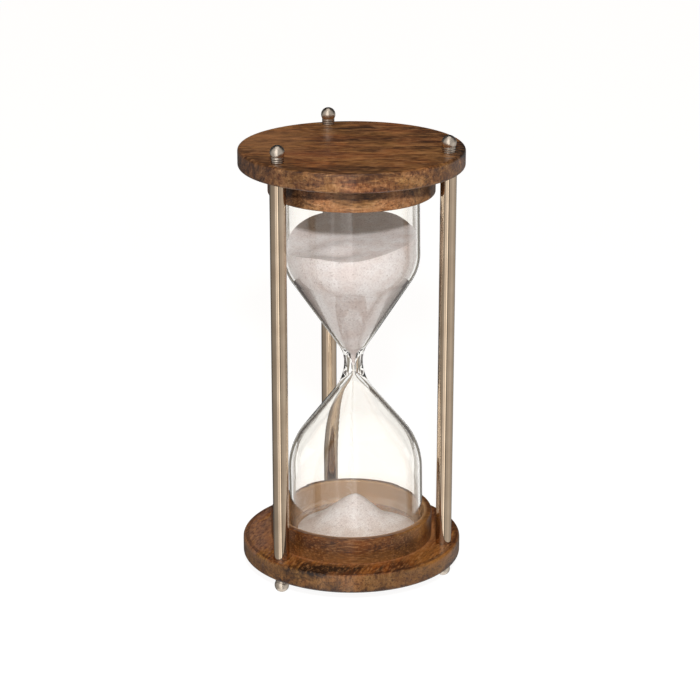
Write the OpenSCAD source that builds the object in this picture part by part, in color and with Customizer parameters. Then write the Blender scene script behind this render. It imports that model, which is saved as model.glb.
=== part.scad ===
// Sand glass: a two-bulb glass held upright between two round wooden plates by three metal posts.
// Millimetres, +Z up. The origin is on the axis, on the surface that the lower ball nuts stand on.

/* [Frame] */
// Distance between the outer faces of the two plates
frame_h = 268; // [250:1:320]
// Diameter of each round plate
plate_d = 140; // [136:1:180]
// Thickness of each plate
plate_t = 12; // [9:0.5:20]
// Rounding of the plates' rims
plate_round = 2; // [0.5:0.1:3]

/* [Collar rings] */
// Width of each ring's wood, from its bore to its outer wall
ring_w = 5.1; // [4:0.1:8]
// Height of each ring on its plate
ring_h = 16.5; // [12:0.5:24]
// Rounding of each ring's free edges
ring_round = 1.2; // [0.5:0.1:1.8]
// Radial gap between a ring's bore and an upright glass on the frame's axis
ring_gap = 3.9; // [3.9:0.1:5]

/* [Posts] */
// Outer diameter of each post
post_d = 10; // [8:0.5:12]
// Distance from the plates' rims in to the posts' axes
post_inset = 8.7; // [7.5:0.1:11]
// Depth of the seats that the posts' ends stand in
post_seat = 2; // [1:0.5:4]
// Diameter of the threaded tie rods inside the posts
tie_d = 5; // [4:0.5:6]
// Length of tie rod that stands out of each plate
tie_out = 6.5; // [5:0.5:7]

/* [Ball nuts] */
// Height of each ball nut, from its seat to its end flat
nut_h = 10.7; // [10:0.1:13]
// Diameter of the ball
ball_d = 9.2; // [8.6:0.1:11]
// Diameter of the neck under the ball
neck_d = 7.9; // [7:0.1:8.4]
// Diameter of the flat on the end of the ball
end_flat_d = 3; // [1.5:0.1:4.5]

/* [Glass] */
// Outer diameter of the two bulbs
bulb_d = 85.6; // [78:0.2:90]
// Thickness of the glass
wall = 2.2; // [1.6:0.1:3]
// Outer diameter of the waist between the bulbs
waist_d = 11.8; // [10:0.1:13]
// Distance that the waist lies below the middle of the glass
waist_drop = 5; // [2:0.5:8]
// Lean of the hand-set glass from upright, its lower end out
lean = 1; // [0:0.1:1]
// Distance of the waist from the frame's axis
waist_off = 1.2; // [0:0.1:1.2]
// Direction of both, from +X towards +Y
lean_dir = 346; // [0:1:359]
// Diameter of the hole that the sand runs through
orifice_d = 2; // [1.6:0.1:3]
// Shortest straight stretch of that hole
orifice_land = 0.5; // [0.2:0.1:1]
// Half angle of the upper bulb's cone
upper_cone = 33.5; // [31:0.5:38]
// Shoulder radius of the upper bulb
upper_shoulder = 29; // [20:1:34]
// Radius of the outside of the waist above its narrowest place
upper_waist_round = 20; // [12:1:24]
// Radius of the funnel that leads the sand into the hole
funnel_round = 15; // [8:1:18]
// Half angle of the lower bulb's cone
lower_cone = 38.5; // [36:0.5:42]
// Shoulder radius of the lower bulb
lower_shoulder = 44; // [32:1:48]
// Radius of the outside of the waist below its narrowest place
lower_waist_round = 30; // [22:1:34]
// Radius of the flare under the hole
outlet_round = 5; // [3:0.5:8]
// Corner radius of the closed ends
end_round = 8; // [5:0.5:12]
// Diameter of the filling hole in the upper end
filling_d = 14; // [8:1:20]

/* [Stopper and cushions] */
// Length of the stopper's plug below its flange
stopper_l = 7; // [4:0.5:12]
// Thickness of the stopper's flange
flange_t = 1.4; // [0.8:0.1:1.8]
// Width of the flange around the filling hole
flange_w = 2.5; // [1:0.5:4]
// Diameter of the felt cushions
cushion_d = 66; // [40:1:68]
// Thickness of the felt cushions at their middle
cushion_t = 2; // [2:0.1:4]

/* [Sand] */
// Height of the upper sand's surface above the middle of the frame, on the axis
sand_level = 77.5; // [66:0.5:82]
// Slope of that surface
sand_tilt = 9; // [0:0.5:14]
// Direction in which that surface rises, from +X towards +Y
sand_tilt_dir = 50; // [0:5:355]
// Depth of the dip that the running sand draws in that surface
dip_depth = 5; // [1:0.5:8]
// Diameter of that dip
dip_d = 60; // [30:1:70]
// Diameter of the falling stream
stream_d = 1.2; // [0.8:0.1:1.2]
// Height of the heap in the lower bulb
heap_h = 22; // [14:0.5:26]
// Slope of the heap's sides
heap_slope = 33; // [24:0.5:36]
// Rounding of the heap's tip
heap_tip = 4; // [2:0.5:10]

/* [Fits] */
// Radial clearance of fixed pieces in their seats and holes
fit = 0.1; // [0.05:0.05:0.2]
// Radial clearance of the ball nuts on the tie rods
nut_fit = 0.05; // [0.03:0.01:0.08]
// Clearance between the sand and the glass
sand_gap = 0.15; // [0.1:0.05:0.3]

/* [Hidden] */
$fn = 96;
steps = 12;              // straight pieces in each rounded stretch of a profile
over = 1;                // how far a cutter passes the face it cuts

BACK = 90;               // directions of the three posts
LEFT = BACK + 360 / 3;
RIGHT = BACK - 360 / 3;

floor_z = nut_h;                              // outer face of the lower plate
deck_z = floor_z + plate_t;                   // inner face of the lower plate
middle_z = floor_z + frame_h / 2;             // middle of the frame
post_r = plate_d / 2 - post_inset;            // circle that the posts stand on
post_l = frame_h - 2 * (plate_t - post_seat);
tie_l = frame_h + 2 * tie_out;
bulb_r = bulb_d / 2;
ring_bore_r = bulb_r + ring_gap;
ring_r = ring_bore_r + ring_w;
flange_r = filling_d / 2 + flange_w;

glass_l = frame_h - 2 * (plate_t + cushion_t);
waist_z = middle_z - waist_drop;
upper_l = glass_l / 2 + waist_drop;           // from the waist to the upper end
lower_l = glass_l / 2 - waist_drop;

// Height from the waist at which a bulb's shoulder has turned upright
function shoulder_z(cone, shoulder, waist_round) =
    waist_round * sin(cone) + shoulder * sin(cone)
    + (bulb_r - waist_d / 2 - (shoulder + waist_round) * (1 - cos(cone))) / tan(cone);

// Height from the waist at which the hole begins to open, for a wall of even thickness
function throat_z(cone, waist_round, throat_round) =
    ((waist_round - throat_round) * (1 - cos(cone)) + wall - cos(cone) * (waist_d - orifice_d) / 2)
    / sin(cone);

upper_shoulder_z = shoulder_z(upper_cone, upper_shoulder, upper_waist_round);
lower_shoulder_z = shoulder_z(lower_cone, lower_shoulder, lower_waist_round);
lower_throat_z = throat_z(lower_cone, lower_waist_round, outlet_round);
upper_throat_z = max(throat_z(upper_cone, upper_waist_round, funnel_round),
                     orifice_land - lower_throat_z);

// An arc of a profile, as points about a centre
function arc(centre, r, from, to) =
    [for (i = [0:steps]) centre + r * [cos(from + (to - from) * i / steps), sin(from + (to - from) * i / steps)]];

// Half of the glass's profile, from the waist to the rim of its end: [radius, height from the waist].
// skin is how far inside the outer surface it lies.
function half(waist_r, round, round_z, cone, shoulder, turn_z, length, skin) = concat(
    arc([waist_r + round, round_z], round, 180, 180 - cone),
    arc([bulb_r - shoulder, turn_z], shoulder - skin, -cone, 0),
    arc([bulb_r - end_round, length - end_round], end_round - skin, 0, 90));

function upper_half(waist_r, round, round_z, skin) =
    half(waist_r, round, round_z, upper_cone, upper_shoulder, upper_shoulder_z, upper_l, skin);
function lower_half(waist_r, round, round_z, skin) =
    half(waist_r, round, round_z, lower_cone, lower_shoulder, lower_shoulder_z, lower_l, skin);

function reversed(points) = [for (i = [len(points) - 1:-1:0]) points[i]];
function below(points) = [for (p = points) [p[0], -p[1]]];

// The inside of each bulb, gap mm clear of the glass
function upper_inside(gap) =
    upper_half(orifice_d / 2 - gap, funnel_round + gap, upper_throat_z, wall + gap);
function lower_inside(gap) =
    lower_half(orifice_d / 2 - gap, outlet_round + gap, lower_throat_z, wall + gap);

// Sets a child that is drawn about the waist's centre where the leaning glass stands
module in_glass() {
    translate([waist_off * cos(lean_dir), waist_off * sin(lean_dir), waist_z])
        rotate([0, 0, lean_dir]) rotate([0, -lean, 0]) children();
}

// All that lies beyond the glass's lower or upper end
module beyond_end(upper) {
    sheet = 2 * bulb_d;
    in_glass() translate([-sheet / 2, -sheet / 2, upper ? upper_l : -lower_l - sheet]) cube(sheet);
}

// Where the middle of the glass's lower or upper end lies, seen from above
function end_at(upper) =
    (waist_off + (upper ? -upper_l : lower_l) * sin(lean)) * [cos(lean_dir), sin(lean_dir)];

// Places a child at one post's axis
module at_post(direction) {
    rotate([0, 0, direction]) translate([post_r, 0, 0]) rotate([0, 0, -direction]) children();
}

// Turns a piece of the lower end over, for the upper end
module turned_over() {
    translate([0, 0, 2 * middle_z]) mirror([0, 0, 1]) children();
}

// A round plate on the lower side, its seats facing up
module plate() {
    difference() {
        translate([0, 0, floor_z]) rotate_extrude()
            polygon(concat([[0, 0]],
                arc([plate_d / 2 - plate_round, plate_round], plate_round, -90, 0),
                arc([plate_d / 2 - plate_round, plate_t - plate_round], plate_round, 0, 90),
                [[0, plate_t]]));
        for (direction = [BACK, LEFT, RIGHT]) at_post(direction) {
            translate([0, 0, floor_z - over]) cylinder(d = tie_d + 2 * fit, h = plate_t + 2 * over);
            translate([0, 0, deck_z - post_seat]) cylinder(d = post_d + 2 * fit, h = post_seat + over);
        }
    }
}

// A collar ring on the lower plate, its free edges facing up
module ring() {
    translate([0, 0, deck_z]) rotate_extrude()
        polygon(concat([[ring_bore_r, 0], [ring_r, 0]],
            arc([ring_r - ring_round, ring_h - ring_round], ring_round, 0, 90),
            arc([ring_bore_r + ring_round, ring_h - ring_round], ring_round, 90, 180)));
}

// A ball nut with its seat at z = 0 and its ball above it
module ball_nut() {
    flat_up = sqrt(pow(ball_d / 2, 2) - pow(end_flat_d / 2, 2));
    neck_down = sqrt(pow(ball_d / 2, 2) - pow(neck_d / 2, 2));
    ball_z = nut_h - flat_up;
    difference() {
        rotate_extrude($fn = 48)
            polygon(concat([[0, 0], [neck_d / 2, 0]],
                arc([0, ball_z], ball_d / 2, -atan(neck_down / (neck_d / 2)), atan(flat_up / (end_flat_d / 2))),
                [[0, nut_h]]));
        translate([0, 0, -over]) cylinder(d = tie_d + 2 * nut_fit, h = tie_out + over + 2 * nut_fit);
    }
}

module bottom_plate() color("saddlebrown") plate();
module top_plate() color("saddlebrown") turned_over() plate();
module bottom_ring() color("sienna") ring();
module top_ring() color("sienna") turned_over() ring();

module glass_bulb() {
    outer_up = upper_half(waist_d / 2, upper_waist_round, 0, 0);
    outer_down = lower_half(waist_d / 2, lower_waist_round, 0, 0);
    color("lightcyan", 0.4) in_glass() rotate_extrude()
        polygon(concat(outer_up,
            [[filling_d / 2, upper_l], [filling_d / 2, upper_l - wall]],
            reversed(upper_inside(0)),
            below(lower_inside(0)),
            [[0, wall - lower_l], [0, -lower_l]],
            reversed(below(outer_down))));
}

module stopper() {
    color("dimgray") in_glass() translate([0, 0, upper_l]) {
        translate([0, 0, -stopper_l]) cylinder(d = filling_d - 2 * fit, h = stopper_l);
        cylinder(r = flange_r, h = flange_t);
    }
}

// Felt between a plate and the glass's end, squeezed to the slope of that end
module bottom_cushion() {
    color("tan") intersection() {
        translate(concat(end_at(false), deck_z)) cylinder(d = cushion_d, h = 2 * cushion_t);
        beyond_end(false);
    }
}

module top_cushion() {
    color("tan") difference() {
        intersection() {
            translate(concat(end_at(true), floor_z + frame_h - plate_t - 2 * cushion_t))
                cylinder(d = cushion_d, h = 2 * cushion_t);
            beyond_end(true);
        }
        in_glass() translate([0, 0, upper_l - over]) cylinder(r = flange_r + fit, h = 2 * (cushion_t + over));
    }
}

// Fills the upper bulb up to a sloping surface with a shallow dip
module sand_upper() {
    sheet = 2 * bulb_d;
    dip_r = (pow(dip_d / 2, 2) + pow(dip_depth, 2)) / (2 * dip_depth);
    color("seashell") difference() {
        in_glass() rotate_extrude()
            polygon(concat([[0, upper_throat_z]], upper_inside(sand_gap),
                [[0, upper_l - wall - sand_gap]]));
        translate([0, 0, middle_z + sand_level]) rotate([0, 0, sand_tilt_dir]) rotate([0, -sand_tilt, 0]) {
            translate([-sheet / 2, -sheet / 2, 0]) cube([sheet, sheet, sheet]);
            translate([0, 0, dip_r - dip_depth]) sphere(r = dip_r, $fn = 128);
        }
    }
}

heap_floor_z = waist_z - lower_l + wall + sand_gap;
heap_top_z = heap_floor_z + heap_h;

// Sets a child upright under the hole in the waist
module under_hole(z) {
    translate([waist_off * cos(lean_dir), waist_off * sin(lean_dir), z]) children();
}

module sand_stream() {
    color("seashell") under_hole(heap_top_z + sand_gap)
        cylinder(d = stream_d, h = waist_z + upper_throat_z - heap_top_z - 2 * sand_gap);
}

// A heap with a rounded tip, as wide as the lower bulb lets it spread
module sand_heap() {
    side_r = heap_tip * sin(heap_slope);
    side_down = heap_tip * (1 - cos(heap_slope));
    skirt_down = side_down + (bulb_d - side_r) * tan(heap_slope);
    color("seashell") intersection() {
        in_glass() rotate_extrude()
            polygon(concat([[0, -lower_throat_z]], below(lower_inside(sand_gap)),
                [[0, wall + sand_gap - lower_l]]));
        under_hole(heap_top_z) rotate_extrude()
            polygon(concat([[0, -skirt_down - heap_h], [bulb_d, -skirt_down - heap_h], [bulb_d, -skirt_down]],
                arc([0, -heap_tip], heap_tip, 90 - heap_slope, 90)));
    }
}

module post(direction) {
    color("silver") at_post(direction) translate([0, 0, deck_z - post_seat]) difference() {
        cylinder(d = post_d, h = post_l);
        translate([0, 0, -over]) cylinder(d = tie_d + 2 * fit, h = post_l + 2 * over);
    }
}

module tie_rod(direction) {
    color("gray") at_post(direction) translate([0, 0, floor_z - tie_out]) cylinder(d = tie_d, h = tie_l);
}

module ball_nut_top(direction) {
    color("gainsboro") at_post(direction) translate([0, 0, floor_z + frame_h]) ball_nut();
}

module ball_nut_bottom(direction) {
    color("gainsboro") turned_over() at_post(direction) translate([0, 0, floor_z + frame_h]) ball_nut();
}

bottom_plate();
top_plate();
bottom_ring();
top_ring();
glass_bulb();
stopper();
bottom_cushion();
top_cushion();
sand_upper();
sand_stream();
sand_heap();
post(LEFT);  // post_left
post(RIGHT);  // post_right
post(BACK);  // post_back
tie_rod(LEFT);  // tie_rod_left
tie_rod(RIGHT);  // tie_rod_right
tie_rod(BACK);  // tie_rod_back
ball_nut_top(LEFT);  // ball_nut_top_left
ball_nut_top(RIGHT);  // ball_nut_top_right
ball_nut_top(BACK);  // ball_nut_top_back
ball_nut_bottom(LEFT);  // ball_nut_bottom_left
ball_nut_bottom(RIGHT);  // ball_nut_bottom_right
ball_nut_bottom(BACK);  // ball_nut_bottom_back
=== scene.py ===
# %% [markdown]
# # A sand glass on three posts
# A blown glass with two bulbs stands between two round boards of dark stained wood. Three metal
# tubes keep the boards apart, and ball nuts on threaded rods inside the tubes clamp it all together.
# The boards, tubes and nuts come ready made in the frame. The lesson gives them their finishes and
# makes the glass, the sand and the felt in finer detail than the frame's plain solids.

# %% Load the frame
import math
import bpy
import numpy as np
from mathutils import Matrix, Vector


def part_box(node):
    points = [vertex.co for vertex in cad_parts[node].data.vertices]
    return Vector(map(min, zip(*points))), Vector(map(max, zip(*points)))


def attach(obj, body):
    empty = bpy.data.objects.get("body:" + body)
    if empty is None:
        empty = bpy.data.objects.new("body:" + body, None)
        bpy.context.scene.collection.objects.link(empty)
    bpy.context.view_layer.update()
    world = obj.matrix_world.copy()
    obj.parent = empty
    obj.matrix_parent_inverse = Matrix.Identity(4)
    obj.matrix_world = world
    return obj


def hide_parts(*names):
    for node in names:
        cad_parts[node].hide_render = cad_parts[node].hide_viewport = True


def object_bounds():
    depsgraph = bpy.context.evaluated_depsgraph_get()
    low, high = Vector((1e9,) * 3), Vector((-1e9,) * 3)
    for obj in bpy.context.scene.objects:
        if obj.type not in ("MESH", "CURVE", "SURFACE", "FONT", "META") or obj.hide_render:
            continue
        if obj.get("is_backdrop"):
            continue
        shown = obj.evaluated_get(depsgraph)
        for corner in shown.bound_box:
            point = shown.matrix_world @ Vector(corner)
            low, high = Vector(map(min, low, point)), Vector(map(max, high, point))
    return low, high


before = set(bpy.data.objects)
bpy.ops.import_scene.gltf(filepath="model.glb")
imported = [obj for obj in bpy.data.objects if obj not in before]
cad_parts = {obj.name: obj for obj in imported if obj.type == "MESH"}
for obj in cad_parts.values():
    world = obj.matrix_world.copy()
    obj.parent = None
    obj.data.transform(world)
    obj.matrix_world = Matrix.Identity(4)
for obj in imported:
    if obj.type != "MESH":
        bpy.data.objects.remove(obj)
cad_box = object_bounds()
bpy.ops.object.select_all(action="DESELECT")

# %% [markdown]
# ## Sizes that come from the frame
# Whatever touches a ready made piece takes its place from the frame, so that it fits.

# %% Sizes
MM = 0.001
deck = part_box("bottom_plate")[1].z  # upper face of the lower board
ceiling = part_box("top_plate")[0].z  # lower face of the upper board
board_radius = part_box("bottom_plate")[1].x
middle = (deck + ceiling) / 2
print(f"between the boards: {(ceiling - deck) / MM:.1f} mm, boards {2 * board_radius / MM:.0f} mm across")

# %% [markdown]
# ## The camera
# It stands a little above the boards' height and to the left of the front. A long lens from 1.4 m
# keeps the posts nearly parallel. The aim is a little above and beside the middle of the stand.

# %% Camera
VIEW_TURN = math.radians(-13.97)
VIEW_RISE = math.radians(18.79)
VIEW_DISTANCE = 1.407
LENS = 114.6
AIM_UP, AIM_LEFT = 2.06 * MM, 0.95 * MM

back = Vector((math.sin(VIEW_TURN) * math.cos(VIEW_RISE),
               -math.cos(VIEW_TURN) * math.cos(VIEW_RISE), math.sin(VIEW_RISE)))
across = Vector((math.cos(VIEW_TURN), math.sin(VIEW_TURN), 0))
aim = Vector((0, 0, middle)) - across * AIM_LEFT + back.cross(across) * AIM_UP
camera = bpy.data.objects.new("camera", bpy.data.cameras.new("camera"))
bpy.context.scene.collection.objects.link(camera)
camera.data.lens = LENS
camera.location = aim + back * VIEW_DISTANCE
camera.rotation_euler = back.to_track_quat("Z", "Y").to_euler()
bpy.context.scene.camera = camera
bpy.context.scene.view_settings.view_transform = "Standard"
print("camera at", [round(v, 3) for v in camera.location])

# %% [markdown]
# ## One way to write every node
# A finish is a small tree of nodes. One function adds a node, sets it and links it, so that a
# recipe reads from top to bottom. Colours are written as on a colour card, in hex, and turned linear.

# %% Colours and nodes
def linear(card):
    """The linear colour of a hex code such as #7a4c2a."""
    parts = [int(card[i:i + 2], 16) / 255 for i in (1, 3, 5)]
    return [p / 12.92 if p <= 0.04045 else ((p + 0.055) / 1.055) ** 2.4 for p in parts] + [1]


def add(tree, kind, inputs=None, stops=None, **settings):
    """Adds a node of a kind. An input is a node, whose first output is linked, a socket or a value."""
    node = tree.nodes.new("ShaderNode" + kind)
    for name, value in settings.items():
        setattr(node, name, value)
    for name, value in (inputs or {}).items():
        if isinstance(value, bpy.types.Node):
            value = value.outputs[0]
        if isinstance(value, bpy.types.NodeSocket):
            tree.links.new(value, node.inputs[name])
        else:
            node.inputs[name].default_value = value
    for i, (place, card) in enumerate(stops or []):
        ramp = node.color_ramp.elements
        stop = ramp[i] if i < 2 else ramp.new(place)
        stop.position, stop.color = place, linear(card)
    return node


def blank(name):
    """A new material and its tree, emptied."""
    material = bpy.data.materials.new(name)
    material.use_nodes = True
    material.node_tree.nodes.clear()
    return material, material.node_tree


print("a mid brown is", [round(c, 3) for c in linear("#7a4c2a")[:3]])

# %% [markdown]
# ## Light and background
# A small studio: one lamp in front, a little above the glass, so that the upper board throws its
# shadow on its collar ring, and a dim even light from all round. Camera, mirror and glass rays see
# a white room. The floor adds its own glow for them, and still takes a soft shadow.

# %% World
ROOM_LIGHT = 0.37
ROOM_HUE = "#ffe6cb"  # of the light that falls on things


def looks(tree, rays):
    """1 for the rays of the camera, of mirrors and of glass, and 0 for the light on things."""
    eye = add(tree, "Math", {0: rays.outputs["Is Camera Ray"], 1: rays.outputs["Is Glossy Ray"]},
              operation="MAXIMUM")
    return add(tree, "Math", {0: eye, 1: rays.outputs["Is Transmission Ray"]}, operation="MAXIMUM")


scene = bpy.context.scene
scene.world = scene.world or bpy.data.worlds.new("room")
scene.world.use_nodes = True
tree = scene.world.node_tree
tree.nodes.clear()
path = add(tree, "LightPath")
sees = looks(tree, path)
strength = add(tree, "MapRange", {"Value": sees, "To Min": ROOM_LIGHT, "To Max": 1.0})
hue = add(tree, "MixRGB", {"Fac": sees, "Color1": linear(ROOM_HUE), "Color2": linear("#ffffff")})
room = add(tree, "Background", {"Color": hue, "Strength": strength})
add(tree, "OutputWorld", {"Surface": room})
print("room light", ROOM_LIGHT)

# %% Lamp
LAMP_TURN = math.radians(-13)
LAMP_RISE = math.radians(29.5)
LAMP_DISTANCE = 1.8
LAMP_SIZE = 0.12
LAMP_POWER = 26.5

lamp = bpy.data.objects.new("front_lamp", bpy.data.lights.new("front_lamp", "AREA"))
scene.collection.objects.link(lamp)
lamp_way = Vector((math.sin(LAMP_TURN) * math.cos(LAMP_RISE),
                   -math.cos(LAMP_TURN) * math.cos(LAMP_RISE), math.sin(LAMP_RISE)))
lamp.location = Vector((0, 0, middle)) + lamp_way * LAMP_DISTANCE
lamp.rotation_euler = lamp_way.to_track_quat("Z", "Y").to_euler()
lamp.data.shape, lamp.data.size, lamp.data.energy = "DISK", LAMP_SIZE, LAMP_POWER
lamp.visible_glossy = False  # its glare is left to the white strips of the screen
print("lamp gives a white card", round(LAMP_POWER / (math.pi * LAMP_DISTANCE) ** 2, 2))

# %% Floor
FLOOR_RADIUS = 4.0
FLOOR_GLOW = 0.93
GLASS_GLOW = 1.06  # the same through glass, whose faces hold some light back
FLOOR_SHADE = 0.18

bpy.ops.mesh.primitive_circle_add(vertices=96, radius=FLOOR_RADIUS, fill_type="NGON", location=(0, 0, 0))
floor = bpy.context.object
floor.name = "floor"
paper, tree = blank("white paper, matt")
path = add(tree, "LightPath")
sees = looks(tree, path)
plain = add(tree, "BsdfDiffuse", {"Color": linear("#b0b0b0")})
shade = add(tree, "BsdfDiffuse", {"Color": [FLOOR_SHADE] * 3 + [1]})
power = add(tree, "MapRange", {"Value": path.outputs["Is Transmission Ray"], "To Min": FLOOR_GLOW,
            "To Max": GLASS_GLOW})
glow = add(tree, "Emission", {"Color": linear("#ffffff"), "Strength": power})
both = add(tree, "AddShader", {0: shade, 1: glow})
mixed = add(tree, "MixShader", {0: sees, 1: plain, 2: both})
add(tree, "OutputMaterial", {"Surface": mixed})
floor.data.materials.append(paper)
floor.visible_glossy = False  # mirrors see the screen of the next step instead
floor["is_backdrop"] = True
print("floor", 2 * FLOOR_RADIUS, "m across")

# %% [markdown]
# ## Screens for the metal and the glass
# Polished metal has no colour of its own to show but what stands around it. In an all white room it
# looks like pale plastic. So a round screen of grey cloth, with tall white strips beside the camera,
# stands around the set, and only mirror rays see it: it draws the upright stripes on the tubes and
# the faint ones on the glass. It is wide, so that all posts show the same stripes, and goes on below
# the floor, because a post seen from above mirrors what lies lower. Two strips of black paper behind
# the glass are seen only through it, by the rays that the edges of the glass bend outwards, and they
# draw the thin dark lines along its outline. The waist is nearly solid and bends the view further,
# so two small cards of its own stand closer behind it.

# %% Screen around the set
SCREEN_RADIUS = 3.0
SCREEN_LOW, SCREEN_HIGH = -3.5, 7.0
SKIRTING = (0.1, 0.6)  # below this the tubes are mirrored, above it the nuts and the boards
CLOTH_POWER = 2.2
# degrees to the right of the camera, and the tone there
LOW_CLOTH = [(-180, "#3c3c3c"), (-140, "#424242"), (-124, "#595959"), (-115, "#626262"), (-98, "#797979"),
             (-66, "#7d7d7d"), (-50, "#838383"), (-41, "#919191"), (-34, "#a2a2a2"), (-32, "#e4e4e4"),
             (-28, "#e4e4e4"), (-26, "#a6a6a6"), (-17, "#aaaaaa"), (-14, "#d7d7d7"), (-10, "#cacaca"),
             (-7, "#d7d7d7"), (-4, "#fafafa"), (1.5, "#ffffff"), (3.5, "#6a6a6a"), (16, "#6a6a6a"),
             (19, "#7d7d7d"), (23, "#9b9b9b"), (32, "#8f8f8f"), (46, "#959595"), (58, "#a2a2a2"),
             (76, "#a2a2a2"), (96, "#8f8f8f"), (118, "#8b8b8b"), (140, "#767676"), (160, "#474747"),
             (180, "#3c3c3c")]
HIGH_CLOTH = [(-180, "#222222"), (-110, "#2e2e2e"), (-90, "#838383"), (-40, "#999999"), (-30, "#e4e4e4"),
              (2, "#e4e4e4"), (10, "#898989"), (80, "#838383"), (110, "#2e2e2e"), (180, "#222222")]

bpy.ops.mesh.primitive_cylinder_add(vertices=96, radius=SCREEN_RADIUS, depth=SCREEN_HIGH - SCREEN_LOW,
                                    end_fill_type="NOTHING", location=(0, 0, 0))
screen = bpy.context.object
screen.name = "screen"
for corner in screen.data.vertices:
    corner.co.z = SCREEN_HIGH if corner.co.z > 0 else SCREEN_LOW
cloth, tree = blank("grey and white cloth, hung")
place = add(tree, "TexCoord").outputs["Object"]
turned = add(tree, "Mapping", {"Vector": place, "Rotation": (0, 0, -VIEW_TURN)})
parts = add(tree, "SeparateXYZ", {"Vector": turned})
front = add(tree, "Math", {0: parts.outputs["Y"], 1: -1.0}, operation="MULTIPLY")
bearing = add(tree, "Math", {0: parts.outputs["X"], 1: front}, operation="ARCTAN2")
share = add(tree, "MapRange", {"Value": bearing, "From Min": -math.pi, "From Max": math.pi})
low = add(tree, "ValToRGB", {"Fac": share}, stops=[((d + 180) / 360, c) for d, c in LOW_CLOTH])
high = add(tree, "ValToRGB", {"Fac": share}, stops=[((d + 180) / 360, c) for d, c in HIGH_CLOTH])
over = add(tree, "MapRange", {"Value": parts.outputs["Z"], "From Min": SKIRTING[0], "From Max": SKIRTING[1]})
hung = add(tree, "MixRGB", {"Fac": over, "Color1": low, "Color2": high})
lit = add(tree, "Emission", {"Color": hung, "Strength": CLOTH_POWER})
add(tree, "OutputMaterial", {"Surface": lit})
screen.data.materials.append(cloth)


def seen_only_by(prop, mirrors=False, glass=False):
    """Hides a prop from the camera and from all light, and leaves it to mirror or glass rays."""
    prop.visible_camera = prop.visible_diffuse = prop.visible_shadow = prop.visible_volume_scatter = False
    prop.visible_glossy, prop.visible_transmission = mirrors, glass
    prop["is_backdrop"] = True


seen_only_by(screen, mirrors=True)
print("screen", 2 * SCREEN_RADIUS, "m across")

# %% Black paper behind the glass
EDGE_BEND = (math.radians(11), math.radians(29))  # how far the glass's edges bend the view outwards
PAPER_NEAR, PAPER_FAR, PAPER_TOP = 0.06, 0.42, 0.6
GLASS_EDGE = 40 * MM  # beside the glass's axis
PAPER_LIFT = 1 * MM  # over the floor


def add_paper(name, card):
    """Paper that shows one even tone."""
    paper, tree = blank(name)
    dull = add(tree, "Emission", {"Color": linear(card), "Strength": 1.0})
    add(tree, "OutputMaterial", {"Surface": dull})
    return paper


def hang(name, side, paper, corner_place):
    """A sheet of paper at one side, whose corners go where corner_place puts them."""
    bpy.ops.mesh.primitive_plane_add(size=1, location=(0, 0, 0))
    sheet = bpy.context.object
    sheet.name = name + ("_left" if side < 0 else "_right")
    for corner in sheet.data.vertices:
        corner.co = corner_place(side, corner.co.x > 0, corner.co.y > 0)
    sheet.rotation_euler = (0, 0, VIEW_TURN)
    sheet.data.materials.append(paper)
    seen_only_by(sheet, glass=True)
    return sheet


def strip_corner(side, outer, further):
    far = PAPER_FAR if further else PAPER_NEAR
    return side * (GLASS_EDGE + far * math.tan(EDGE_BEND[outer])), far, PAPER_LIFT


black = add_paper("black paper", "#8a8275")
for side in (-1, 1):
    strip = hang("black_paper", side, black, strip_corner)
    bpy.ops.object.mode_set(mode="EDIT")
    bpy.ops.mesh.select_all(action="DESELECT")
    bpy.ops.object.mode_set(mode="OBJECT")
    for corner in strip.data.vertices:
        corner.select = corner.co.y > PAPER_FAR - MM
    bpy.ops.object.mode_set(mode="EDIT")
    bpy.ops.mesh.extrude_edges_move(TRANSFORM_OT_translate={"value": (0, 0, PAPER_TOP)})
    bpy.ops.object.mode_set(mode="OBJECT")
print("strips of black paper: 2")

# %% Black paper behind the waist
WAIST_BEND = (math.radians(36), math.radians(80))  # the waist is nearly solid and bends the view further
WAIST_PAPER = (0.078, 0.150)  # height of its lower and upper edge
WAIST_PAPER_FAR = 0.1


def card_corner(side, outer, upper):
    bend = WAIST_BEND[outer]
    return side * WAIST_PAPER_FAR * math.sin(bend), WAIST_PAPER_FAR * math.cos(bend), WAIST_PAPER[upper]


inky = add_paper("black paper, inked", "#5a5350")
for side in (-1, 1):
    hang("waist_paper", side, inky, card_corner)
print("black paper cards: 2")

# %% [markdown]
# ## Dark stained hardwood
# The boards and collars are sawn from a coarse, open-grained hardwood such as mango, stained brown
# and lacquered. Long streaks run with the grain, short open pores show as dark dashes, and the stain
# takes in patches. All are solid patterns in the piece's own space, so that they run on round an
# edge and turn into flecks on the end grain, as in real wood. A turned rim is torn a little and
# takes less stain, so it gets its own lighter tone with upright flecks. The bore of a collar is bare.

# %% Wood
STREAK = (38 * MM, 8 * MM)  # length and width of the coloured streaks
FIGURE = (13 * MM, 5 * MM)  # the short cloudy figure between them
LINE = (30 * MM, 2.4 * MM)  # the thin dark lines
PATCH = (34 * MM, 20 * MM)  # where the stain took more or less, and turned red or olive
PORE = (6 * MM, 0.8 * MM)  # open pores: real ones are half as wide and wouldn't show
FLECK = (1.6 * MM, 3.4 * MM)  # torn flecks on a turned rim: width and height
BARE_WOOD = "#bd946a"
FIGURE_SHARE = 0.45  # how much the figure adds to the streaks
TORN_SKIN = (1.6 * MM, 0.5 * MM)  # inside a rim's radius: its own tone starts, and is full
WORN = (0.36, 0.52)  # patch noise at which a rim is half worn, and fully
DARK_LINE = (0.55, 0.68)  # line noise at which a line starts, and is full
OPEN_PORE = (0.34, 0.43)  # pore noise up to which a pore is open, and closed
RAGGED = 2.6  # how far the grain pulls a mark's outline about
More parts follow.
